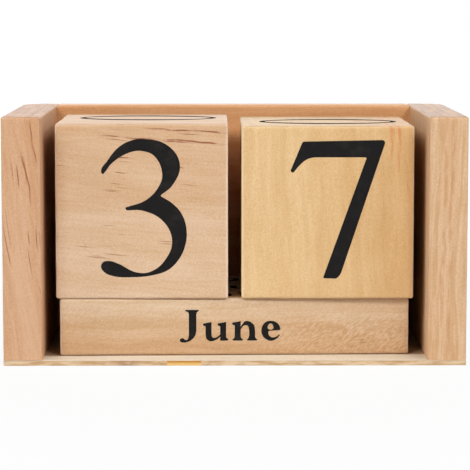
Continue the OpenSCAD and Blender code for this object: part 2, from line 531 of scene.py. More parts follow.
def solid_wood_tree():
    """Wood right through: rings, fibres, specks, warmer patches, dark streaks and rubbed edges, painted
    pale as a highlight.
    """
    inputs = {label: kind for kind, labels in WOOD_INPUTS.items() for label in labels}
    outputs = {"Color": "Color", "Roughness": "Float", "Normal": "Vector"}
    graph, given, results = new_tree("Solid wood", "ShaderNodeTree", inputs, outputs)
    spot = graph.millimetres()
    grain = graph.turned(spot, given["Grain"], given["Offset"])
    grain = grain + (graph.noise(grain, *FIGURE["bend"], "Color") - 0.5) * GRAIN_STRAY

    def figure(name):
        """One figure of the grain, light and dark about nought."""
        return graph.noise(grain, *FIGURE[name]) - 0.5

    # Growth rings round the pith, some years darker than others
    ring = graph.distance((grain - given["Pith"]) * (0, 1, 1)) / given["Ring width"]
    ring = ring + graph.noise(grain, *FIGURE["ring"])
    year = graph.out("ShaderNodeTexWhiteNoise", {"W": graph.math("FLOOR", ring)}, noise_dimensions="1D")
    part = graph.math("FRACT", ring)
    late = graph.ramp(part, *RING_DARKENS) * graph.fall(part, *RING_PALES)
    rings = late * given["Rings"] * (year * (1 - PALEST_YEAR) + PALEST_YEAR)

    # Ripples and streaks gather in one zone
    aside = graph.distance((spot - given["Zone"]) / given["Zone size"])
    zone = graph.ramp(aside, *ZONE_EDGE, 1.0, given["Outside zone"])
    ripple = graph.noise(graph.turned(grain, RIPPLE_LEAN), *FIGURE["ripple"]) - 0.5
    ripple = ripple * given["Ripple"] * zone

    # Fibres, clouds and specks
    fine = figure("fine fibre")
    fibres = (fine + figure("broad fibre")) * given["Fibres"]
    blots = figure("cloud") * given["Cloud"] + figure("speck") * given["Specks"]
    tone = graph.math("ADD", rings + fibres + blots + ripple, MID_TONE, use_clamp=True)
    colour = graph.blend(tone, given["Light"], given["Dark"])

    # Warmer patches, and a slow drift across the piece: of the wood's colour, and on the bars of painted
    # shade
    drift = graph.math("DOT_PRODUCT", spot, given["Drift"], output="Value") + given["Warmth"]
    warm = graph.math("ADD", drift, figure("patch") * given["Mottle"], use_clamp=True)
    colour = graph.blend(warm, colour, given["Warm"], mode="MULTIPLY")

    # Long threads and short needles of dark resin, and broken seams at chosen places
    thread = dark_marks(graph, grain, *THREAD) * given["Threads"]
    needle = dark_marks(graph, grain, *NEEDLE) * given["Needles"]
    marks = graph.most(thread, needle) * zone
    for name in SEAMS:
        seam = resin_seam(graph, spot - given[name], grain, given)
        marks = graph.most(marks, seam * given["Seam strength"])
    colour = graph.blend(marks, colour, given["Streak"])

    # Sawn ends are greyer
    facing = graph.turned(graph.out("ShaderNodeTexCoord", output="Normal"), given["Grain"])
    ends = graph.ramp(abs(graph.split(facing)["X"]), *SAWN_FACING)
    bands = graph.ramp(graph.noise(spot, *FIGURE["sawn band"]), *SAWN_BANDS)
    colour = graph.blend(ends * bands * given["End grain"], colour, SAWN_END, mode="MULTIPLY")

    # Rubbed edges show pale: wear, and a painted highlight where the rounded edges catch the light
    wear_and_highlight = graph.out("ShaderNodeAttribute", output="Fac", attribute_name="edge_wear_and_highlight")
    rubbed_and_highlit = graph.blend(1.0, given["Light"], RUBBED_AND_HIGHLIGHT_GAIN, mode="ADD")
    colour = graph.blend(wear_and_highlight * given["Rubbed and highlit"], colour, rubbed_and_highlit)

    height = fine + (ripple - marks * MARK_DEPTH)
    relief = {"Strength": RELIEF_STRENGTH, "Distance": RELIEF, "Height": height}
    graph.feed(results["Color"], colour)
    graph.feed(results["Roughness"], fine * FIBRE_ROUGHNESS + ROUGHNESS)
    graph.feed(results["Normal"], graph.out("ShaderNodeBump", relief))
    return graph.tree


def toned(colour, red=1, green=1, blue=1):
    """A colour as a node takes it, dimmed channel by channel."""
    return (colour[0] * red, colour[1] * green, colour[2] * blue, 1)


def blank_material(name):
    """A material with only a surface shader, with its graph and the shader's inputs."""
    material = bpy.data.materials.new(name)
    material.use_nodes = True
    graph = Graph(material.node_tree)
    return material, graph, material.node_tree.nodes["Principled BSDF"].inputs


def timber(graph, colour, cut):
    """The outputs of the wood tree, set for one colour and one way of cutting."""
    shades = {"Light": toned(colour), "Dark": toned(colour, *LATE_WOOD), "Streak": toned(colour, *RESIN)}
    tree = shared_tree("Solid wood", solid_wood_tree)
    return graph.outs("ShaderNodeGroup", {**PLAIN_WOOD, **shades, **cut}, node_tree=tree)


def bare_wood(graph, surface, looks):
    """A surface with the colour, roughness and relief of bare wood."""
    graph.feed(surface["Base Color"], looks["Color"])
    graph.feed(surface["Roughness"], looks["Roughness"])
    graph.feed(surface["Normal"], looks["Normal"])
    graph.feed(surface["Specular IOR Level"], GLOSS)


def wood(name, colour, cut):
    """One piece's wood, in its own colour, with its grain laid as the piece was cut."""
    material, graph, surface = blank_material(name)
    bare_wood(graph, surface, timber(graph, colour, cut))
    return material


# The turn that stands the grain upright
UPRIGHT = math.pi / 2


def left_board_wood(colours):
    """Slant-grained, with two short seams near the top of its front."""
    cut = {"Grain": (0, UPRIGHT + math.radians(8), 0), "Offset": (11, 4, 7), "Pith": (0, 30, 40),
           "Ring width": 4.0, "Fibres": 0.9, "Threads": 0.7, "Needles": 0.9, "Seam": (-52.0, -34, 58.9),
           "Second seam": (-53.9, -34, 48.6), "Seam reach": 8.0, "Seam strength": 0.8, "End grain": 0.66,
           "Rubbed and highlit": 0.2}
    return wood("left_board_wood", colours.left_board, cut)


def right_board_wood(colours):
    """Straight-grained and close-ringed, with two long pale seams."""
    cut = {"Grain": (0, UPRIGHT - math.radians(1), 0), "Offset": (3, 9, 5), "Pith": (0, 70, 20),
           "Ring width": 1.7, "Rings": 0.6, "Fibres": 1.7, "Threads": 0.6,
           "Streak": toned(colours.right_board, 0.75, 0.5, 0.32), "Seam": (55.6, -34, 34),
           "Second seam": (53.9, -34, 44), "Seam reach": 45.0, "Seam width": 0.8, "Seam strength": 0.5,
           "End grain": 1.0, "Rubbed and highlit": 0.2}
    return wood("right_board_wood", colours.right_board, cut)


def back_panel_wood(colours):
    """Warm, with its grain level."""
    cut = {"Offset": (21, 3, 17), "Pith": (0, -40, 30), "Ring width": 4.5, "Rings": 0.6, "Threads": 0.3,
           "Warmth": 0.5, "Rubbed and highlit": 0.2}
    return wood("back_panel_wood", colours.back_panel, cut)


def left_cube_wood(colours):
    """Rosier towards the top, with most of its streaks at the upper right."""
    cut = {"Grain": (0, math.radians(-5), 0), "Offset": (37, 13, 29), "Pith": (0, 60, 90),
           "Ring width": 5.0, "Rings": 0.25, "Warmth": -0.38, "Drift": (0, 0, 0.019), "Threads": 1.0,
           "Needles": 1.0, "Zone": (-14, -27, 55), "Zone size": (34, 40, 16), "Outside zone": 0.6,
           "Seam": (-9.0, -27, 57.6), "Second seam": (-23.0, -27, 58.4), "Third seam": (-11.4, -27, 60.4),
           "Seam reach": 14.0, "Seam strength": 1.0}
    return wood("left_cube_wood", colours.left_cube, cut)


def right_cube_wood(colours):
    """Yellow, and more orange towards the right, with a few streaks at the upper right."""
    cut = {"Grain": (0, UPRIGHT + math.radians(2), 0), "Offset": (7, 31, 3), "Pith": (0, 80, 40),
           "Ring width": 6.0, "Rings": 0.25, "Fibres": 0.7, "Warmth": -0.27, "Drift": (0.025, 0, 0),
           "Streak": toned(colours.right_cube, 0.82, 0.46, 0.33), "Threads": 0.9, "Needles": 0.9,
           "Zone": (42, -27, 56), "Zone size": (12, 20, 30), "Outside zone": 0.1,
           "Seam": (40.6, -27, 59.9), "Second seam": (42.5, -27, 56.7), "Seam reach": 8.0,
           "Seam width": 0.55, "Seam strength": 0.9, "End grain": 0.35}
    return wood("right_cube_wood", colours.right_cube, cut)


# Where in the plank the front bar is cut, and how much further on each next one is, in millimetres
FIRST_CUT = Vector((19, 0, 11))
NEXT_CUT = Vector((60, 7, 23))


def bar_wood(bar, number, colours):
    """Paler along the top and warmer and darker below, a painted shade, with a rippled figure low at the
    right.
    """
    # Warmth and Drift paint shade: the warm tone is full low on the bar and fades out towards its top
    cut = {"Offset": FIRST_CUT + NEXT_CUT * number, "Pith": (0, 20, 60), "Ring width": 4.0, "Warmth": 1.45,
           "Drift": (0, 0, -0.1), "Needles": 0.5, "Ripple": 3.6, "Zone": (32, -27, 4),
           "Zone size": (34, 30, 10), "Outside zone": 0.2}
    return wood(bar + "_bar_wood", colours.bars, cut)


# Where the resin stain and the burnt patch start and stop along the base's front edge, and how softly, in
# millimetres, and the glue line in the same way up the edge, in shares of its height
STAIN = (-17.6, -8.7, 0.3)
SCORCH = (-31.5, -25.0, 2.0)
GLUE_LINE = (0.84, 0.92, 0.03)
# The shares of the base's height over which the core gives way to the face veneer
FACE_VENEER = (0.9, 0.97)
# How sharply the core's blotches end, and how they break up the glue line
BLOTCH_EDGE = (0.35, 0.65)
GLUE_BREAKS = (0.4, 0.6, 0.15, 0.55)
# How softly the painted shade under the bars starts and how deep the stain goes, in millimetres
SHADE_EDGE = (-1.0, 1.0)
STAIN_DEPTH = (0.1, 0.4)
# How strong the stain is, and the shares of the base's height over which it darkens
STAIN_STRENGTH = 0.9
STAIN_DARKENS = (0.25, 0.8)
# Shades of the core and the glue, by channel, and the colours of the stain and of the painted shade under
# the bars
DARK_CORE = (0.8, 0.68, 0.54)
PALE_CORE = (1.12, 1.16, 1.2)
BURNT_CORE = (0.45, 0.27, 0.15)
GLUE = (0.4, 0.3, 0.22)
PALE_RESIN = toned(srgb(240, 198, 118))
DARK_RESIN = toned(srgb(190, 128, 36))
PAINTED_SHADE_UNDER_BARS = (0.5, 0.38, 0.27, 1)


def plywood(colours):
    """Thin plywood: a cream face, a blotched edge under a dark glue line, and a stain at the front."""
    material, graph, surface = blank_material("base_plywood")
    looks = timber(graph, colours.base, {"Ring width": 2.0, "Rings": 0.2, "Warmth": -0.2})
    inner = colours.base_core
    low, high = (Vector(corner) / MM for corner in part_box("base_panel"))
    spot = graph.millimetres()
    x, y, z = graph.split(spot).values()
    level = z / (high.z - low.z)
    edge = graph.fall(level, *FACE_VENEER)

    # The core shows along the edge, blotched and in one place burnt, under the glue line
    blotch = graph.noise(spot, *FIGURE["blotch"])
    pale = graph.ramp(blotch, *BLOTCH_EDGE)
    core = graph.blend(pale, toned(inner, *DARK_CORE), toned(inner, *PALE_CORE))
    scorch = graph.between(x, *SCORCH) * graph.noise(spot, *FIGURE["scorch"])
    core = graph.blend(scorch, core, toned(inner, *BURNT_CORE))
    colour = graph.blend(edge, looks["Color"], core)
    glue = graph.between(level, *GLUE_LINE) * graph.ramp(blotch, *GLUE_BREAKS)
    colour = graph.blend(glue, colour, toned(inner, *GLUE))

    # Painted shade: the face is darker from the front of the turned row of bars to the back, where the
    # blocks shade it
    corner = Vector(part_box("month_bar_front")[0]) / MM
    row_front = (x - corner.x) * math.tan(bpy.context.scene.calendar_shape.bar_turn) + corner.y
    painted_shade = graph.ramp(y - row_front, *SHADE_EDGE)
    colour = graph.blend(painted_shade, colour, PAINTED_SHADE_UNDER_BARS, mode="MULTIPLY")

    # A stain of resin on the front edge
    front = graph.fall(y - low.y, *STAIN_DEPTH)
    stain = graph.between(x, *STAIN) * edge * front * STAIN_STRENGTH
    amber = graph.blend(graph.ramp(level, *STAIN_DARKENS), PALE_RESIN, DARK_RESIN)
    bare_wood(graph, surface, {**looks, "Color": graph.blend(stain, colour, amber)})
    return material


# Steel and ink

# Shades of dull steel and of thin ink, by channel, how softly the ink thins and how little it shines
DULL_STEEL = (0.75, 0.75, 0.76)
THIN_INK = (1.5, 1.45, 1.4)
THIN_EDGE = (0.45, 0.75)
INK_GLOSS = 0.01


def brad_steel(colours):
    """Bright steel with the faint scuffs of hammering."""
    material, graph, surface = blank_material("brad_steel")
    scuff = graph.noise(graph.millimetres(), *FIGURE["scuff"])
    colour = graph.blend(scuff, toned(colours.brads, *DULL_STEEL), toned(colours.brads))
    graph.feed(surface["Base Color"], colour)
    graph.feed(surface["Roughness"], scuff * 0.3 + 0.2)
    graph.feed(surface["Metallic"], 1.0)
    return material


def printing_ink(colour):
    """Matt ink that lies a little thinner over the harder fibres."""
    material, graph, surface = blank_material("printing_ink")
    thin = graph.noise(graph.millimetres(), *FIGURE["thin ink"])
    shade = graph.blend(graph.ramp(thin, *THIN_EDGE), toned(colour), toned(colour, *THIN_INK))
    graph.feed(surface["Base Color"], shade)
    graph.feed(surface["Roughness"], thin * 0.2 + 0.8)
    graph.feed(surface["Specular IOR Level"], INK_GLOSS)
    return material


def shared_ink(settings):
    """The one ink that all the printing uses."""
    return bpy.data.materials.get("printing_ink") or printing_ink(settings.ink)


# Brads

BRAD_SIDES = 20


def brad_tree():
    """A brad on each point, head down: rings of one tube take their height and radius from a short list."""
    numbers = ("Head radius", "Head height", "Shank radius", "Length", "Point")
    inputs = {"Geometry": "Geometry", "Material": "Material", **dict.fromkeys(numbers, "Float")}
    graph, given, results = new_tree("Brads", "GeometryNodeTree", inputs, {"Geometry": "Geometry"})
    head, thick, shank, tall, point = (given[name] for name in numbers)
    # From below: the head's rounded face, its rim, and the shank up to its blunt point
    heights = (0.0, thick * 0.3, thick, thick * 1.1, tall - point, tall)
    radii = (head * 0.86, head, head, shank, shank, shank * 0.25)
    spans = len(heights) - 1
    sizes = {"Vertices": BRAD_SIDES, "Side Segments": spans, "Radius": 1.0, "Depth": spans}
    tube = graph.out("GeometryNodeMeshCylinder", sizes, "Mesh")
    spot = graph.split(graph.out("GeometryNodeInputPosition"))
    ring = graph.math("ROUND", spot["Z"] + spans / 2)

    def picked(values):
        """The value that stands for each ring."""
        switch = graph.add("GeometryNodeIndexSwitch", {"Index": ring}, data_type="FLOAT")
        while len(switch.index_switch_items) < len(values):
            switch.index_switch_items.new()
        for number, value in enumerate(values, 1):
            graph.feed(switch.inputs[number], value)
        return Wire(graph, switch.outputs[0])

    radius = picked(radii)
    place = graph.join(spot["X"] * radius, spot["Y"] * radius, picked(heights))
    shaped = graph.out("GeometryNodeSetPosition", {"Geometry": tube, "Position": place})
    driven = graph.out("GeometryNodeInstanceOnPoints", {"Points": given["Geometry"], "Instance": shaped})
    finish_tree(graph, driven, given["Material"], results)
    return graph.tree


def brad_places(inset):
    """Where the brads stand: two under each end board and two under the back panel."""
    panel_low, panel_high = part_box("back_panel")
    places = []
    for board in ("left_end_board", "right_end_board"):
        low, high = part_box(board)
        for y in (low[1] + inset, panel_low[1] - inset):
            places.append(((low[0] + high[0]) / 2, y, 0.0))
    for x in (panel_low[0] + inset, panel_high[0] - inset):
        places.append((x, (panel_low[1] + panel_high[1]) / 2, 0.0))
    return places


# Lettering

# A third value that marks a point of an outline as a sharp corner
CORNER = True
# Steps along each side of a drawn outline, and how far its curves bulge, as a share of the side
STEPS = 7
BULGE = 0.37
# A corner is eased over this length, or over this share of a short side, which also draws in its tip
EASE = 0.35
EASE_SHARE = 0.3
# Degrees between two points of an oval
OVAL_STEP = 9


def eased(side):
    """The share of a side that the easing of its corner takes up."""
    return min(EASE / side.length, EASE_SHARE)


def traced(points):
    """A closed outline through its points; one marked as a corner is turned sharply, with its tip eased."""
    count = len(points)
    spots = [Vector(point[:2]) for point in points]
    sharp = [len(point) > 2 for point in points]

    def heading(number, toward):
        """The outline's direction at a point, on its way toward another."""
        if sharp[number]:
            return toward
        before = (spots[number] - spots[number - 1]).normalized()
        after = (spots[(number + 1) % count] - spots[number]).normalized()
        return (before + after).normalized()

    outline = []
    for number, start in enumerate(spots):
        following = (number + 1) % count
        stop = spots[following]
        side = stop - start
        toward = side.normalized()
        bulge = side.length * BULGE
        leave = start + heading(number, toward) * bulge
        arrive = stop - heading(following, toward) * bulge
        first = eased(side) if sharp[number] else 0.0
        last = 1 - eased(side) if sharp[following] else 1.0
        if sharp[number]:
            back = spots[number - 1] - start
            outline.append(start + (back * eased(back) + side * eased(side)) * EASE_SHARE)
        for step in range(STEPS + 1):
            t = first + (last - first) * step / STEPS
            s = 1 - t
            ends = start * s ** 3 + stop * t ** 3
            outline.append(ends + leave * (3 * s * s * t) + arrive * (3 * s * t * t))
    return outline


def shape(points, *holes):
    """A drawn shape and the holes in it."""
    return traced(points), [traced(hole) for hole in holes]


def straight(*points):
    """A shape with straight sides."""
    return [Vector(point) for point in points], []


def arc(centre, radii, start=0, stop=360 - OVAL_STEP, lean=0.0):
    """Points along an oval, from start to stop in degrees, or all round."""
    count = round(abs(stop - start) / OVAL_STEP)
    turn = Matrix.Rotation(math.radians(lean), 2)
    points = []
    for number in range(count + 1):
        way = math.radians(start + (stop - start) * number / count)
        spot = Vector((radii[0] * math.cos(way), radii[1] * math.sin(way)))
        points.append(Vector(centre) + turn @ spot)
    return points


def bowl(centre, radii, side, end, lean=0.0):
    """An oval stroke, thick at its sides and thin at its ends."""
    inner = (radii[0] - side, radii[1] - end)
    return arc(centre, radii), [arc(centre, inner, lean=lean)]


def open_bowl(centre, radii, side, end, start, stop, lean=0.0):
    """A part of an oval stroke, from start to stop in degrees."""
    inner = (radii[0] - side, radii[1] - end)
    return arc(centre, radii, start, stop) + arc(centre, inner, stop, start, lean), []


def dot(x, y, radius):
    """A round dot."""
    return arc((x, y), (radius, radius)), []


def slant(x, low, end_x, high, width):
    """A leaning stroke with level ends."""
    return straight((x, low), (x + width, low), (end_x + width, high), (end_x, high))


def stem(x, low, high, width):
    """An upright stroke."""
    return slant(x, low, x, high, width)


def serif(x, y, width, left, right, up=1):
    """A bracketed foot serif, or a head serif with up at -1."""
    end = x + width
    edge = y + 0.34 * up
    curve = y + 0.62 * up
    root = y + 1.2 * up
    return shape([(x - left, y, CORNER), (x - left, edge, CORNER), (x - 0.2, curve), (x, root, CORNER),
                  (end, root, CORNER), (end + 0.2, curve), (end + right, edge, CORNER),
                  (end + right, y, CORNER)])


def flag(x, y, width):
    """The slanted serif at the head of a small letter's stem."""
    return straight((x + width, y + 0.12), (x + width, y - 1.5), (x, y - 1.5), (x, y - 1.05),
                    (x - 0.6, y - 0.8), (x - 0.66, y - 0.3))


# Heights and widths of the letters' parts, in the unit that they are drawn in
X_HEIGHT = 5.0
CAPITAL = 8.1
TALL = 8.5
TAIL = -2.3
STROKE = 1.55
THICK = 1.9
HAIR = 0.45
# How far the inside of an oval letter leans, in degrees
LEAN = -14


def small_stem(x, high=X_HEIGHT, low=0.0, foot=True):
    """A small letter's stem with its slanted head and its foot."""
    parts = [stem(x, low, high - 0.3, STROKE), flag(x, high, STROKE)]
    if foot:
        parts.append(serif(x, low, STROKE, 0.6, 0.6))
    return parts


def arch(x, width):
    """The shoulder from a stem's right side over to a right stem's left side, with that stem."""
    left = x + STROKE
    right = left + width
    end = right + STROKE
    shoulder = shape([(left - 0.2, 3.2, CORNER), (left + 0.45, 4.35),
                      (left + width * 0.62, X_HEIGHT + 0.12), (right + STROKE * 0.7, 4.35), (end, 3.0),
                      (end, 0.3, CORNER), (right, 0.3, CORNER), (right, 3.0), (right - 0.35, 3.9),
                      (left + width * 0.42, 3.95), (left - 0.2, 2.6, CORNER)])
    return [shoulder, serif(right, 0, STROKE, 0.5, 0.6)]


def leaning_pair(width):
    """The two strokes of a small v, with their serifs."""
    middle = width * 0.5
    end = width - 1.3
    return [slant(middle - 0.3, -0.1, 0.75, X_HEIGHT, STROKE),
            slant(middle + 0.1, -0.1, end, X_HEIGHT, 0.6),
            serif(0.75, X_HEIGHT, STROKE, 0.65, 0.5, -1), serif(end, X_HEIGHT, 0.6, 0.6, 0.6, -1)]


# The letters that the months need, each as shapes that may overlap
LETTERS = {
    "A": [slant(0.9, 0, 3.6, CAPITAL, 0.6), slant(5.3, 0, 2.9, CAPITAL + 0.1, THICK),
          straight((2.0, 2.5), (5.7, 2.5), (5.7, 2.95), (2.0, 2.95)), serif(0.9, 0, 0.6, 0.8, 0.8),
          serif(5.4, 0, THICK, 0.7, 0.7)],
    "D": [stem(0.8, 0, CAPITAL, THICK), serif(0.8, 0, THICK, 0.7, 0.2),
          serif(0.8, CAPITAL, THICK, 0.7, 0.2, -1),
          open_bowl((3.2, 4.05), (4.4, 4.05), 1.95, 0.48, -90, 90), stem(1.5, 0, 0.48, 1.8),
          stem(1.5, CAPITAL - 0.48, CAPITAL, 1.8)],
    "F": [stem(0.8, 0, CAPITAL, THICK), serif(0.8, 0, THICK, 0.7, 0.9),
          serif(0.8, CAPITAL, THICK, 0.7, 0.2, -1),
          straight((2.0, CAPITAL - 0.5), (5.0, CAPITAL - 0.5), (5.5, 6.0), (5.9, 6.0), (5.8, CAPITAL),
                   (2.0, CAPITAL)),
          straight((2.6, 3.95), (4.1, 3.95), (4.4, 3.1), (4.75, 3.1), (4.75, 5.4), (4.4, 5.4),
                   (4.1, 4.4), (2.6, 4.4))],
    "J": [stem(2.3, 2.4, CAPITAL, 1.95), serif(2.3, CAPITAL, 1.95, 0.95, 0.65, -1),
          shape([(2.3, 2.6, CORNER), (4.25, 2.6, CORNER), (3.9, 1.3), (3.1, 0.35), (2.1, -0.25),
                 (1.0, -0.45), (0.25, -0.3), (-0.05, 0.15), (0.25, 0.62), (0.85, 0.66), (1.3, 0.3),
                 (1.8, 0.25), (2.2, 0.9)])],
    "M": [stem(1.0, 0, CAPITAL, 0.6), serif(1.0, 0, 0.6, 0.7, 0.7),
          slant(4.0, 0.2, 0.75, CAPITAL, THICK), slant(4.6, 0.2, 7.0, CAPITAL, 0.6),
          stem(7.0, 0, CAPITAL, THICK), serif(7.0, 0, THICK, 0.7, 0.7),
          serif(7.2, CAPITAL, 1.7, 0.2, 0.7, -1), serif(0.75, CAPITAL, 0.9, 0.7, 0.2, -1)],
    "N": [stem(1.0, 0, CAPITAL, 0.6), serif(1.0, 0, 0.6, 0.7, 0.7),
          slant(5.4, -0.1, 0.7, CAPITAL, THICK), stem(6.7, 0, CAPITAL, 0.6),
          serif(6.7, CAPITAL, 0.6, 0.7, 0.7, -1), serif(0.7, CAPITAL, 0.9, 0.7, 0.2, -1)],
    "O": [bowl((4.1, 4.05), (4.1, 4.2), 1.95, 0.5, lean=LEAN)],
    "S": [shape([(0.5, 2.6, CORNER), (0.9, 2.6, CORNER), (1.5, 1.0), (2.9, 0.3), (4.2, 0.8), (4.3, 2.0),
                 (3.0, 3.3), (1.2, 4.6), (0.5, 6.1), (1.2, 7.6), (2.8, 8.25), (4.2, 7.9),
                 (4.9, 8.1, CORNER), (5.0, 5.9, CORNER), (4.6, 5.9, CORNER), (4.0, 7.3), (2.8, 7.8),
                 (1.8, 7.1), (2.0, 6.1), (3.5, 5.0), (5.2, 3.5), (5.5, 1.9), (4.6, 0.4), (2.9, -0.15),
                 (1.3, 0.2), (0.6, 0.0, CORNER)])],
    "a": [stem(2.7, 0.5, 3.6, STROKE), bowl((1.9, 1.4), (1.9, 1.55), 1.3, HAIR),
          shape([(4.15, 3.5), (3.6, 4.8), (2.3, 5.12), (0.9, 4.7), (0.35, 3.9), (0.8, 3.4), (1.6, 3.7),
                 (1.9, 4.5), (2.6, 4.4), (2.7, 3.4), (3.4, 3.1)]),
          shape([(2.75, 1.0, CORNER), (4.15, 1.0), (4.35, 0.6), (5.0, 0.55, CORNER), (4.6, -0.05),
                 (3.6, -0.12), (2.9, 0.3)])],
    "b": small_stem(0.8, TALL, 0.2, False) + [bowl((2.9, 2.45), (2.4, 2.6), STROKE, HAIR, lean=LEAN)],
    "c": [open_bowl((2.5, 2.45), (2.5, 2.6), STROKE, HAIR, 50, 322, LEAN), dot(3.75, 3.85, 0.72)],
    "e": [shape([(4.85, 1.4, CORNER), (4.0, 0.5), (2.6, -0.1), (1.1, 0.4), (0.15, 1.6), (0.0, 2.8),
                 (0.4, 4.1), (1.35, 4.95), (2.55, 5.15), (3.8, 4.8), (4.7, 3.85), (5.0, 2.7, CORNER),
                 (1.85, 2.55, CORNER), (1.8, 1.9), (2.2, 1.1), (3.05, 0.8), (4.0, 1.05),
                 (4.6, 1.6, CORNER)],
                [(1.7, 3.1), (1.65, 3.65), (2.0, 4.3), (2.6, 4.42), (3.0, 3.9), (3.05, 3.1)])],
    "g": [bowl((2.4, 3.3), (2.2, 1.8), 1.3, HAIR, lean=LEAN), bowl((2.6, -1.0), (2.5, 1.35), 0.8, 0.5),
          shape([(1.2, 1.9), (0.7, 1.2), (0.8, 0.5), (1.6, 0.2), (3.4, 0.25), (3.0, -0.4), (1.4, -0.3),
                 (0.2, 0.2), (0.1, 1.1), (0.7, 1.9)]), dot(4.7, 4.6, 0.5),
          slant(3.9, 4.2, 4.3, 4.9, 0.6)],
    "h": small_stem(0.8, TALL) + arch(0.8, 2.1),
    "i": small_stem(0.8) + [dot(1.5, 7.1, 0.85)],
    "l": small_stem(0.8, TALL),
    "m": small_stem(0.8) + arch(0.8, 1.75) + arch(0.8 + STROKE + 1.75, 1.75),
    "n": small_stem(0.75) + arch(0.75, 2.15),
    "o": [bowl((2.6, 2.45), (2.6, 2.62), 1.5, HAIR, lean=LEAN)],
    "p": small_stem(0.8, X_HEIGHT, TAIL) + [bowl((2.95, 2.45), (2.4, 2.6), STROKE, HAIR, lean=LEAN)],
    "r": small_stem(0.8) + [shape([(2.1, 3.1, CORNER), (2.7, 4.5), (3.7, 5.1), (4.5, 4.6), (4.4, 3.75),
                                   (3.7, 3.5), (3.2, 4.05), (2.6, 3.7), (2.1, 2.6, CORNER)])],
    "s": [shape([(0.4, 1.7, CORNER), (0.75, 1.7, CORNER), (1.2, 0.65), (2.1, 0.25), (2.9, 0.7),
                 (2.4, 1.6), (1.0, 2.5), (0.4, 3.7), (1.0, 4.8), (2.2, 5.12), (3.1, 4.85),
                 (3.7, 5.0, CORNER), (3.7, 3.6, CORNER), (3.4, 3.6, CORNER), (2.9, 4.4), (2.1, 4.7),
                 (1.5, 4.2), (2.0, 3.4), (3.4, 2.4), (4.0, 1.2), (3.3, 0.2), (2.1, -0.12), (1.0, 0.15),
                 (0.4, 0.0, CORNER)])],
    "t": [stem(0.9, 1.0, 6.0, STROKE), straight((0.1, 4.55), (3.5, 4.55), (3.5, 5.0), (0.1, 5.0)),
          slant(0.2, 4.9, 1.9, 6.4, 0.5),
          shape([(0.9, 1.2, CORNER), (2.35, 1.2, CORNER), (2.6, 0.6), (3.5, 0.7, CORNER), (2.9, 0.0),
                 (1.8, -0.12), (1.05, 0.4)])],
    "u": [stem(0.5, 1.4, X_HEIGHT - 0.5, STROKE), flag(0.5, X_HEIGHT - 0.2, STROKE),
          stem(4.3, 0.25, X_HEIGHT - 0.5, STROKE), flag(4.3, X_HEIGHT - 0.2, STROKE),
          shape([(0.5, 1.8, CORNER), (0.75, 0.5), (1.85, -0.15), (3.2, 0.2), (4.4, 1.1, CORNER),
                 (4.4, 1.7, CORNER), (3.3, 0.9), (2.6, 0.75), (2.15, 1.1), (2.05, 1.8, CORNER)]),
          straight((4.3, 0.0), (5.6, 0.0), (6.35, 0.1), (6.35, 0.45), (5.85, 0.85), (4.3, 0.85))],
    "v": leaning_pair(5.6),
    "y": leaning_pair(5.6) + [slant(1.2, -1.9, 2.9, 0.6, 0.6), dot(1.0, -1.6, 0.75)],
}

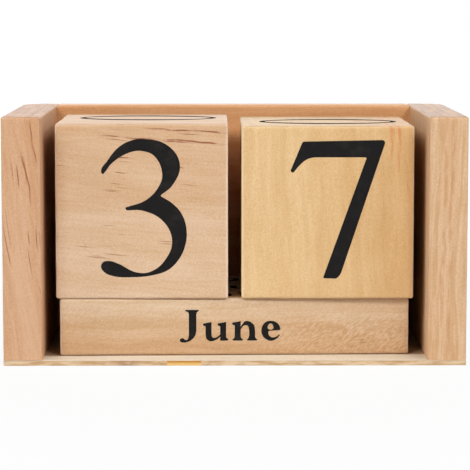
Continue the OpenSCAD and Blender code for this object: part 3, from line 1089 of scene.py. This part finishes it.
# The numbers on the cubes, in the same way
DIGITS = {
    "0": [bowl((0, 0.9), (11.0, 18.5), 3.8, 1.5, lean=-2)],
    "1": [shape([(-7.4, -17.0, CORNER), (7.4, -17.0, CORNER), (7.4, -16.1, CORNER), (3.6, -15.5),
                 (2.4, -13.4), (2.4, 18.8, CORNER), (1.4, 18.8, CORNER), (-7.6, 15.3, CORNER),
                 (-7.2, 14.3, CORNER), (-4.0, 14.9), (-2.4, 13.4), (-2.4, -13.4), (-3.6, -15.5),
                 (-7.4, -16.1, CORNER)])],
    "2": [shape([(-10.4, 10.5, CORNER), (-8.2, 14.6), (-3.9, 17.9), (0.4, 18.8), (6.2, 17.6),
                 (9.6, 14.0), (9.8, 9.4), (7.0, 3.6), (1.2, -3.4), (-6.4, -12.6, CORNER), (5.4, -12.6),
                 (8.8, -11.9), (10.6, -9.6), (11.6, -9.9, CORNER), (9.6, -17.0, CORNER),
                 (-11.0, -17.0, CORNER), (-11.0, -16.2, CORNER), (-3.2, -7.4), (2.6, -0.8), (5.0, 5.0),
                 (5.2, 10.0), (3.2, 14.2), (-0.4, 15.7), (-4.4, 15.1), (-7.6, 12.4),
                 (-9.5, 10.0, CORNER)])],
    "3": [shape([(-10.5, 10.6), (-8.8, 13.4), (-6.1, 16.7), (-2.7, 18.6), (0.6, 19.0), (7.0, 17.2),
                 (10.0, 12.3), (8.0, 6.9), (4.8, 4.2, CORNER), (8.0, 2.2), (10.4, -0.5), (11.7, -4.8),
                 (11.2, -9.3), (9.7, -12.4), (7.4, -14.9), (4.7, -16.2), (-3.7, -17.2), (-7.8, -16.8),
                 (-10.0, -15.7), (-10.7, -14.3), (-10.1, -13.2), (-8.5, -12.9), (-6.4, -13.5),
                 (-1.4, -15.9), (2.3, -15.7), (6.3, -12.3), (7.9, -7.6), (5.7, -2.6), (0.3, 0.3),
                 (-4.0, 0.4, CORNER), (-4.3, 1.1, CORNER), (1.3, 3.2), (4.8, 7.2), (5.4, 9.9),
                 (3.3, 14.6), (0.6, 15.8), (-2.4, 15.7), (-7.8, 12.6), (-9.5, 10.4), (-10.1, 9.9)])],
    "4": [shape([(3.0, 18.8, CORNER), (7.0, 18.8, CORNER), (7.0, -5.0, CORNER), (11.8, -5.0, CORNER),
                 (11.8, -8.4, CORNER), (7.0, -8.4, CORNER), (7.0, -17.0, CORNER), (2.6, -17.0, CORNER),
                 (2.6, -8.4, CORNER), (-11.6, -8.4, CORNER), (-11.6, -6.8, CORNER)],
                [(2.6, 12.6, CORNER), (2.6, -5.0, CORNER), (-8.6, -5.0, CORNER)])],
    "5": [shape([(-6.4, 18.6, CORNER), (9.8, 18.6, CORNER), (8.6, 14.2, CORNER), (-4.4, 14.2, CORNER),
                 (-5.8, 5.4, CORNER), (-2.0, 5.6), (3.6, 4.8), (8.6, 1.6), (10.9, -3.4), (10.2, -9.2),
                 (6.4, -14.2), (0.8, -16.8), (-5.0, -17.1), (-9.0, -16.3), (-10.5, -14.5), (-9.3, -13.1),
                 (-7.4, -13.3), (-3.9, -15.1), (-0.4, -15.5), (3.4, -13.6), (6.0, -9.6), (6.4, -4.8),
                 (4.2, -0.6), (-0.2, 1.4), (-4.8, 1.6), (-8.8, 0.6, CORNER)])],
    "6": [shape([(9.6, 18.4, CORNER), (2.0, 15.0), (-4.4, 9.8), (-8.8, 2.8), (-10.4, -5.2),
                 (-8.6, -12.0), (-4.2, -16.2), (0.6, -17.2), (5.8, -15.8), (9.6, -12.0), (10.8, -6.4),
                 (9.2, -0.6), (5.4, 3.0), (1.0, 3.7), (-2.8, 2.2), (-5.2, -0.2, CORNER), (-3.0, 6.0),
                 (1.0, 11.0), (5.4, 14.6), (9.9, 17.4, CORNER)],
                [(0.4, 1.2), (-3.6, -1.6), (-5.6, -6.8), (-4.6, -12.0), (-1.4, -15.2), (1.8, -15.2),
                 (4.8, -12.2), (6.0, -7.0), (4.6, -1.8), (2.4, 0.8)])],
    "7": [shape([(-6.6, 18.6, CORNER), (14.4, 19.0, CORNER), (14.9, 18.4, CORNER), (3.9, -14.8, CORNER),
                 (3.4, -16.1), (2.4, -17.3, CORNER), (-1.2, -17.2, CORNER), (10.1, 14.5, CORNER),
                 (-3.7, 14.5, CORNER), (-5.4, 14.0), (-7.0, 12.8), (-9.1, 10.4, CORNER),
                 (-9.8, 10.9, CORNER)])],
    "8": [shape([(0.2, 18.8), (5.0, 17.6), (8.2, 14.2), (8.4, 10.0), (6.4, 6.2), (3.4, 3.4), (8.0, 0.2),
                 (10.6, -5.0), (10.2, -10.6), (6.6, -15.2), (0.4, -17.2), (-5.6, -16.0), (-9.8, -12.0),
                 (-10.4, -7.0), (-7.8, -2.0), (-3.6, 1.6), (-7.2, 5.2), (-8.6, 9.4), (-7.4, 14.0),
                 (-4.0, 17.6)],
                [(0.4, 17.2), (3.6, 15.0), (4.6, 11.0), (3.4, 7.4), (1.2, 5.0), (-2.4, 7.4),
                 (-4.6, 10.8), (-4.2, 14.6), (-1.8, 16.8)],
                [(-1.8, 0.4), (-5.4, -3.6), (-6.4, -8.6), (-4.4, -13.4), (-0.4, -15.6), (3.8, -14.4),
                 (6.2, -11.0), (6.0, -7.2), (3.2, -3.2)])],
}
# Height of a number, in the unit that it is drawn in
DRAWN_DIGIT = 36.0


def moved(shapes, step):
    """Shapes carried along by one step."""
    return [([spot + step for spot in outline], [[spot + step for spot in hole] for hole in holes])
            for outline, holes in shapes]


def word_shapes(word, gap):
    """The letters of a word, set side by side and centred on their own width and the capitals' height."""
    shapes = []
    pen = 0.0
    for letter in word:
        across = [spot.x for outline, holes in LETTERS[letter] for spot in outline]
        shapes += moved(LETTERS[letter], Vector((pen - min(across), 0)))
        pen += max(across) - min(across) + gap
    return moved(shapes, Vector(((gap - pen) / 2, -CAPITAL / 2)))


def anticlockwise(loop):
    """The loop's points, turned round if they run clockwise."""
    area = sum(start.cross(stop) for start, stop in zip(loop, loop[1:] + loop[:1]))
    return loop if area > 0 else loop[::-1]


# Points this near to each other count as one, and only what lies inside the loops is filled
MERGE_REACH = 1e-4
INSIDE_ONLY = 1


def merged(shapes):
    """Flat triangles that cover the shapes once, whatever overlaps: points, triangles."""
    points = []
    loops = []
    solid = []
    for outline, holes in shapes:
        numbers = []
        for loop in [outline] + holes:
            numbers.append(len(loops))
            loops.append(list(range(len(points), len(points) + len(loop))))
            points.extend(anticlockwise(loop))
        solid.append((numbers[0], set(numbers[1:])))
    spots, _, faces, _, _, sources = delaunay_2d_cdt(points, [], loops, INSIDE_ONLY, MERGE_REACH, True)
    kept = []
    for face, source in zip(faces, sources):
        found = set(source)
        if any(outer in found and not (holes & found) for outer, holes in solid):
            kept.append(tuple(face))
    return spots, kept


# Printing

def block_face(node, normal, upward):
    """The middle of one face of a node's block, with the directions to its right, up and out."""
    middle, size, turn = standing_block(node)
    outward = Vector(normal)
    upward = Vector(upward)
    return middle + turn @ (outward * size / 2), turn @ upward.cross(outward), turn @ upward, turn @ outward


def shifted(face, across, up):
    """A face's middle and directions, with the middle moved across and up the face."""
    middle, right, upward, outward = face
    return middle + right * across + upward * up, right, upward, outward


def printed(name, body, prints):
    """Thin plates of ink on a block; each print is its shapes, their scale and the face they lie on."""
    settings = bpy.context.scene.calendar_print
    points = []
    faces = []
    for shapes, scale, (middle, right, upward, outward) in prints:
        spots, triangles = merged(shapes)
        flat = [middle + (right * spot.x + upward * spot.y) * scale for spot in spots]
        top = len(points)
        bottom = top + len(flat)
        points += [spot + outward * settings.ink_height for spot in flat]
        points += [spot - outward * settings.ink_depth for spot in flat]
        sides = {}
        for triangle in triangles:
            faces.append([top + number for number in triangle])
            faces.append([bottom + number for number in reversed(triangle)])
            sides.update(dict.fromkeys(zip(triangle, triangle[1:] + triangle[:1])))
        for start, stop in sides:
            if (stop, start) not in sides:
                faces.append([top + stop, top + start, bottom + start, bottom + stop])
    mesh = bpy.data.meshes.new(name)
    mesh.from_pydata(points, [], faces)
    mesh.materials.append(shared_ink(settings))
    mesh.validate()
    piece = bpy.data.objects.new(name, mesh)
    bpy.context.scene.collection.objects.link(piece)
    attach(piece, body)


# Each face's outward direction, and the way up of what is printed on it
CUBE_FACES = {
    "front": ((0, -1, 0), (0, 0, 1)),
    "top": ((0, 0, 1), (1, 0, 0)),
    "back": ((0, 1, 0), (0, 0, 1)),
    "left": ((-1, 0, 0), (0, 0, 1)),
    "right": ((1, 0, 0), (0, 0, 1)),
    "bottom": ((0, 0, -1), (0, -1, 0)),
}
BAR_FACES = {**CUBE_FACES, "top": ((0, 0, 1), (0, 1, 0)), "back": ((0, 1, 0), (0, 0, -1))}
CUBE_NUMBERS = {
    "left": {"front": "3", "top": "0", "right": "1", "left": "2", "back": "4", "bottom": "5"},
    "right": {"front": "7", "top": "0", "right": "2", "left": "1", "back": "8", "bottom": "6"},
}
BAR_MONTHS = {
    "front": {"front": "June", "top": "July", "back": "August", "bottom": "May"},
    "middle": {"front": "January", "top": "February", "back": "March", "bottom": "April"},
    "rear": {"front": "September", "top": "October", "back": "November", "bottom": "December"},
}


# Studio

# Width of the camera's sensor, in millimetres
SENSOR = 36


def set_camera(scene, settings):
    """A camera at the photograph's viewing angle."""
    lens = bpy.data.cameras.new("camera")
    lens.sensor_width = SENSOR
    lens.lens = settings.lens
    lens.clip_start = 0.01
    camera = bpy.data.objects.new("camera", lens)
    camera.location = settings.eye
    camera.rotation_euler = (math.pi / 2 - settings.pitch, 0, -settings.yaw)
    scene.collection.objects.link(camera)
    scene.camera = camera


# The front and side lamps stand in pairs, one to the right as given here and one to the left
FRONT_LAMP = Vector((0.76, -1.127, 1.1))
FRONT_LAMP_SIZE = (0.6, 0.35)
SIDE_LAMP = Vector((1.278, -0.465, 1.0))
SIDE_LAMP_SIZE = (0.4, 0.35)
BACK_LAMP = Vector((0, 1.6, 0.4))
BACK_LAMP_SIZE = (1.1, 0.24)
LAMP_AIM = Vector((0, 0, 0.03))


def soft_lamp(name, place, size, watts):
    """A wide soft lamp that faces the object."""
    light = bpy.data.lights.new(name, "AREA")
    light.shape = "RECTANGLE"
    light.size, light.size_y = size
    light.energy = watts
    lamp = bpy.data.objects.new(name, light)
    lamp.location = place
    lamp.rotation_euler = (LAMP_AIM - place).to_track_quat("-Z", "Y").to_euler()
    bpy.context.scene.collection.objects.link(lamp)


def seen_directly(graph):
    """One for rays that show the background itself, straight or in gloss and glass."""
    path = graph.outs("ShaderNodeLightPath")
    seen = graph.most(path["Is Camera Ray"], path["Is Glossy Ray"])
    return graph.most(seen, path["Is Transmission Ray"])


def light_room(scene, settings):
    """Even white light from all round, and a white background."""
    world = bpy.data.worlds.new("room")
    world.use_nodes = True
    graph = Graph(world.node_tree)
    background = world.node_tree.nodes["Background"].inputs
    background["Color"].default_value = (1, 1, 1, 1)
    graph.feed(background["Strength"], graph.ramp(seen_directly(graph), 0.0, 1.0, settings.sky, 1.0))
    scene.world = world


# Half the floor's width, and the distances over which it turns from nearly white to white, in metres
FLOOR_REACH = 3.0
FLOOR_FADE = (0.08, 0.3)
NEARLY_WHITE = 0.92


def lay_floor(settings):
    """A pale floor that keeps a soft shadow near the object and is white beyond it."""
    corners = [(x * FLOOR_REACH, y * FLOOR_REACH, 0) for x, y in PLAN_CORNERS.values()]
    mesh = bpy.data.meshes.new("floor")
    mesh.from_pydata(corners, [], [range(len(corners))])
    material, graph, surface = blank_material("floor")
    surface["Base Color"].default_value = toned(settings.floor)
    surface["Roughness"].default_value = 0.9
    away = graph.distance(graph.out("ShaderNodeTexCoord", output="Object") * (1, 1, 0))
    white = seen_directly(graph) * graph.ramp(away, *FLOOR_FADE, NEARLY_WHITE, 1.0)
    nodes = material.node_tree.nodes
    pale = Wire(graph, nodes["Principled BSDF"].outputs[0])
    glow = graph.out("ShaderNodeEmission", {"Color": (1, 1, 1, 1), "Strength": 1.0})
    mixed = graph.out("ShaderNodeMixShader", {0: white, 1: pale, 2: glow})
    graph.feed(nodes["Material Output"].inputs["Surface"], mixed)
    mesh.materials.append(material)
    floor = bpy.data.objects.new("floor", mesh)
    bpy.context.scene.collection.objects.link(floor)


# Operators

class CALENDAR_OT_end_boards(bpy.types.Operator):
    """Make the tray's two end boards"""

    bl_idname = "calendar.end_boards"
    bl_label = "End boards"

    def execute(self, context):
        sizes = context.scene.calendar_shape
        colours = context.scene.calendar_wood
        edge = sizes.board_edge
        seam = sizes.seam_edge
        sanded_piece("left_board", "left_end_board", "tray", left_board_wood(colours),
                     (edge, edge, seam, sizes.tray_corner), edge, seam, 1.0)
        sanded_piece("right_board", "right_end_board", "tray", right_board_wood(colours),
                     (edge, edge, sizes.tray_corner, seam), edge, seam, 2.0)
        return {"FINISHED"}


class CALENDAR_OT_back_panel(bpy.types.Operator):
    """Make the panel between the end boards at the back"""

    bl_idname = "calendar.back_panel"
    bl_label = "Back panel"

    def execute(self, context):
        sizes = context.scene.calendar_shape
        seam = sizes.seam_edge
        material = back_panel_wood(context.scene.calendar_wood)
        sanded_piece("rear_panel", "back_panel", "tray", material, (seam, seam, seam, seam),
                     sizes.board_edge, seam, 3.0)
        return {"FINISHED"}


class CALENDAR_OT_plywood_base(bpy.types.Operator):
    """Make the thin plywood base"""

    bl_idname = "calendar.plywood_base"
    bl_label = "Plywood base"

    def execute(self, context):
        sizes = context.scene.calendar_shape
        edge = sizes.base_edge
        corner = sizes.tray_corner
        sanded_piece("plywood_base", "base_panel", "tray", plywood(context.scene.calendar_wood),
                     (edge, edge, corner, corner), edge, edge, 4.0)
        return {"FINISHED"}


class CALENDAR_OT_brads(bpy.types.Operator):
    """Drive the brads that hold the base"""

    bl_idname = "calendar.brads"
    bl_label = "Base brads"

    def execute(self, context):
        sizes = context.scene.calendar_shape
        low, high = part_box("base_brads")
        spots = bpy.data.meshes.new("brad_places")
        spots.from_pydata(brad_places(sizes.brad_inset), [], [])
        values = {"Head radius": sizes.brad_head, "Head height": sizes.brad_head_height,
                  "Shank radius": sizes.brad_shank, "Length": high[2] - low[2], "Point": sizes.brad_point,
                  "Material": brad_steel(context.scene.calendar_wood)}
        brads = grown("driven_brads", shared_tree("Brads", brad_tree), values, spots)
        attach(brads, "tray")
        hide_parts("base_brads")
        return {"FINISHED"}


class CALENDAR_OT_date_cubes(bpy.types.Operator):
    """Make the two date cubes"""

    bl_idname = "calendar.date_cubes"
    bl_label = "Date cubes"

    def execute(self, context):
        edge = context.scene.calendar_shape.block_edge
        colours = context.scene.calendar_wood
        for side, material, seed in (("left", left_cube_wood, 5.0), ("right", right_cube_wood, 6.0)):
            sanded_piece(side + "_cube_block", side + "_date_cube", side + "_cube",
                         material(colours), (edge, edge, edge, edge), edge, edge, seed)
        return {"FINISHED"}


class CALENDAR_OT_month_bars(bpy.types.Operator):
    """Make the three month bars"""

    bl_idname = "calendar.month_bars"
    bl_label = "Month bars"

    def execute(self, context):
        edge = context.scene.calendar_shape.block_edge
        colours = context.scene.calendar_wood
        for number, bar in enumerate(BAR_MONTHS):
            sanded_piece(bar + "_bar_block", "month_bar_" + bar, bar + "_bar",
                         bar_wood(bar, number, colours), (edge, edge, edge, edge), edge, edge, 7.0 + number)
        return {"FINISHED"}


class CALENDAR_OT_numbers(bpy.types.Operator):
    """Print a number on each face of the date cubes"""

    bl_idname = "calendar.numbers"
    bl_label = "Printed numbers"

    def execute(self, context):
        settings = context.scene.calendar_print
        scale = settings.digit_height / DRAWN_DIGIT
        top_shift = {"left": -settings.left_top_shift, "right": settings.right_top_shift}
        for side, numbers in CUBE_NUMBERS.items():
            prints = []
            for place, digit in numbers.items():
                face = block_face(side + "_date_cube", *CUBE_FACES[place])
                if place == "top":
                    face = shifted(face, top_shift[side], 0)
                prints.append((DIGITS[digit], scale, face))
            printed(side + "_cube_numbers", side + "_cube", prints)
        return {"FINISHED"}


class CALENDAR_OT_months(bpy.types.Operator):
    """Print a month on each long face of the bars"""

    bl_idname = "calendar.months"
    bl_label = "Printed months"

    def execute(self, context):
        settings = context.scene.calendar_print
        scale = settings.capital_height / CAPITAL
        for bar, months in BAR_MONTHS.items():
            prints = []
            for place, month in months.items():
                face = block_face("month_bar_" + bar, *BAR_FACES[place])
                face = shifted(face, -settings.month_inset, settings.month_lift)
                prints.append((word_shapes(month, settings.letter_gap / scale), scale, face))
            printed(bar + "_bar_months", bar + "_bar", prints)
        return {"FINISHED"}


class CALENDAR_OT_studio(bpy.types.Operator):
    """Set up the camera, the lamps and the floor"""

    bl_idname = "calendar.studio"
    bl_label = "Studio"

    def execute(self, context):
        settings = context.scene.calendar_studio
        context.scene.view_settings.view_transform = "Standard"
        set_camera(context.scene, settings)
        for side, mirror in (("left", Vector((-1, 1, 1))), ("right", Vector((1, 1, 1)))):
            soft_lamp(side + "_front_lamp", FRONT_LAMP * mirror, FRONT_LAMP_SIZE, settings.front_power)
            soft_lamp(side + "_side_lamp", SIDE_LAMP * mirror, SIDE_LAMP_SIZE, settings.side_power)
        soft_lamp("back_lamp", BACK_LAMP, BACK_LAMP_SIZE, settings.back_power)
        light_room(context.scene, settings)
        lay_floor(settings)
        return {"FINISHED"}


# Add-on

OPERATORS = (
    CALENDAR_OT_studio,
    CALENDAR_OT_end_boards,
    CALENDAR_OT_back_panel,
    CALENDAR_OT_plywood_base,
    CALENDAR_OT_brads,
    CALENDAR_OT_date_cubes,
    CALENDAR_OT_month_bars,
    CALENDAR_OT_numbers,
    CALENDAR_OT_months,
)


class CALENDAR_PT_sidebar(bpy.types.Panel):
    """The calendar's settings and the buttons that make its pieces"""

    bl_idname = "CALENDAR_PT_sidebar"
    bl_label = "Perpetual calendar"
    bl_space_type = "VIEW_3D"
    bl_region_type = "UI"
    bl_category = "Calendar"

    def draw(self, context):
        for name, settings in SETTINGS.items():
            group = getattr(context.scene, name)
            box = self.layout.box()
            for label in settings.__annotations__:
                box.prop(group, label)
        for operator in OPERATORS:
            self.layout.operator(operator.bl_idname)


def register():
    for each in (*SETTINGS.values(), *OPERATORS, CALENDAR_PT_sidebar):
        bpy.utils.register_class(each)
    for name, settings in SETTINGS.items():
        setattr(bpy.types.Scene, name, PointerProperty(type=settings))


def unregister():
    for name in SETTINGS:
        delattr(bpy.types.Scene, name)
    for each in (CALENDAR_PT_sidebar, *reversed(OPERATORS), *reversed(tuple(SETTINGS.values()))):
        bpy.utils.unregister_class(each)


def main():
    register()
    bpy.ops.calendar.studio()
    bpy.ops.calendar.end_boards()
    bpy.ops.calendar.back_panel()
    bpy.ops.calendar.plywood_base()
    bpy.ops.calendar.brads()
    bpy.ops.calendar.date_cubes()
    bpy.ops.calendar.month_bars()
    bpy.ops.calendar.numbers()
    bpy.ops.calendar.months()


if __name__ == "__main__":
    main()
